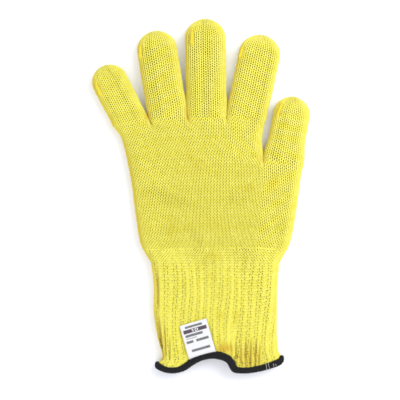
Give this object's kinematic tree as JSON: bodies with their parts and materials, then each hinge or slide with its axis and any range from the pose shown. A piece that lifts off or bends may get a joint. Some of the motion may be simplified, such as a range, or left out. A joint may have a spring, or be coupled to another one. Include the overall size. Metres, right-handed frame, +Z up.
{
  "type": "cut resistant glove",
  "caption": "Long-cuffed knit safety glove lying flat, with foldable fingers, thumb and wrist, a ribbed cuff, a bound hem and a size label.",
  "frame": {"origin": "on the table under the middle of the glove", "axes": "+Y towards the fingertips, +X towards the thumb, +Z up, out of the palm side"},
  "size_m": [0.1859, 0.3023, 0.0184],
  "materials": {
    "knit": "matte cut resistant knit, lemon yellow",
    "rib_knit": "matte ribbed knit, lemon yellow",
    "yarn": "yellow yarn",
    "hem_binding": "black overlocked elastic thread",
    "label_cloth": "smooth white printed label tape",
    "elastic_thread": "covered elastic thread"
  },
  "bodies": {
    "palm": {"palm_shell": "knit", "little_ring_tack": "yarn", "ring_middle_tack": "yarn", "middle_index_tack": "yarn", "index_thumb_tack": "yarn"},
    "cuff": {"cuff_shell": "rib_knit", "hem_binding": "hem_binding", "cuff_elastic_yarn": "elastic_thread", "hem_join_stitches": "elastic_thread", "hem_yarn_loop": "yarn"},
    "label": {"size_label": "label_cloth"},
    "little_proximal": {"little_proximal": "knit"},
    "little_middle": {"little_middle": "knit"},
    "little_tip": {"little_tip": "knit", "little_closing_yarn": "yarn"},
    "ring_proximal": {"ring_proximal": "knit"},
    "ring_middle": {"ring_middle": "knit"},
    "ring_tip": {"ring_tip": "knit", "ring_closing_yarn": "yarn"},
    "middle_proximal": {"middle_proximal": "knit"},
    "middle_middle": {"middle_middle": "knit"},
    "middle_tip": {"middle_tip": "knit", "middle_closing_yarn": "yarn"},
    "index_proximal": {"index_proximal": "knit"},
    "index_middle": {"index_middle": "knit"},
    "index_tip": {"index_tip": "knit", "index_closing_yarn": "yarn"},
    "thumb_base": {"thumb_base": "knit"},
    "thumb_tip": {"thumb_tip": "knit", "thumb_closing_yarn": "yarn"}
  },
  "joints": [
    {"name": "little_knuckle", "type": "hinge", "parent": "palm", "child": "little_proximal", "pos_m": [-0.0589, 0.06135, 0.008], "axis": [0.9936, 0.1132, 0], "range_deg": [0, 80]},
    {"name": "little_middle_fold", "type": "hinge", "parent": "little_proximal", "child": "little_middle", "pos_m": [-0.0687, 0.08003, 0.008], "axis": [0.8854, 0.4648, 0], "range_deg": [0, 85]},
    {"name": "little_tip_fold", "type": "hinge", "parent": "little_middle", "child": "little_tip", "pos_m": [-0.07644, 0.09477, 0.008], "axis": [0.8854, 0.4648, 0], "range_deg": [0, 42.5]},
    {"name": "ring_knuckle", "type": "hinge", "parent": "palm", "child": "ring_proximal", "pos_m": [-0.028, 0.0666, 0.008], "axis": [1, -0.0087, 0], "range_deg": [0, 80]},
    {"name": "ring_middle_fold", "type": "hinge", "parent": "ring_proximal", "child": "ring_middle", "pos_m": [-0.03264, 0.09476, 0.008], "axis": [0.9867, 0.1625, 0], "range_deg": [0, 85]},
    {"name": "ring_tip_fold", "type": "hinge", "parent": "ring_middle", "child": "ring_tip", "pos_m": [-0.0363, 0.11699, 0.008], "axis": [0.9867, 0.1625, 0], "range_deg": [0, 42.5]},
    {"name": "middle_knuckle", "type": "hinge", "parent": "palm", "child": "middle_proximal", "pos_m": [0.00485, 0.06855, 0.008], "axis": [0.9998, -0.0175, 0], "range_deg": [0, 80]},
    {"name": "middle_middle_fold", "type": "hinge", "parent": "middle_proximal", "child": "middle_middle", "pos_m": [0.00422, 0.09988, 0.008], "axis": [0.9998, 0.02, 0], "range_deg": [0, 85]},
    {"name": "middle_tip_fold", "type": "hinge", "parent": "middle_middle", "child": "middle_tip", "pos_m": [0.00373, 0.12462, 0.008], "axis": [0.9998, 0.02, 0], "range_deg": [0, 42.5]},
    {"name": "index_knuckle", "type": "hinge", "parent": "palm", "child": "index_proximal", "pos_m": [0.03805, 0.06615, 0.008], "axis": [0.9945, -0.1045, 0], "range_deg": [0, 80]},
    {"name": "index_middle_fold", "type": "hinge", "parent": "index_proximal", "child": "index_middle", "pos_m": [0.04381, 0.09315, 0.008], "axis": [0.978, -0.2085, 0], "range_deg": [0, 85]},
    {"name": "index_tip_fold", "type": "hinge", "parent": "index_middle", "child": "index_tip", "pos_m": [0.04835, 0.11446, 0.008], "axis": [0.978, -0.2085, 0], "range_deg": [0, 42.5]},
    {"name": "thumb_root_fold", "type": "hinge", "parent": "palm", "child": "thumb_base", "pos_m": [0.07, 0.0301, 0.008], "axis": [0.9857, -0.1685, 0], "range_deg": [0, 60]},
    {"name": "thumb_tip_fold", "type": "hinge", "parent": "thumb_base", "child": "thumb_tip", "pos_m": [0.07508, 0.05745, 0.008], "axis": [0.9832, -0.1824, 0], "range_deg": [0, 65]},
    {"name": "wrist_fold", "type": "hinge", "parent": "palm", "child": "cuff", "pos_m": [0.012, -0.057, 0.008], "axis": [-1, 0, 0], "range_deg": [0, 70]},
    {"name": "label_flap", "type": "hinge", "parent": "cuff", "child": "label", "pos_m": [0.0005, -0.132, 0.01655], "axis": [0.9603, 0.279, 0], "range_deg": [0, 110]}
  ],
  "couplings": [
    {"joint": "little_tip_fold", "follows": "little_middle_fold", "ratio": 0.5},
    {"joint": "ring_tip_fold", "follows": "ring_middle_fold", "ratio": 0.5},
    {"joint": "middle_tip_fold", "follows": "middle_middle_fold", "ratio": 0.5},
    {"joint": "index_tip_fold", "follows": "index_middle_fold", "ratio": 0.5}
  ]
}
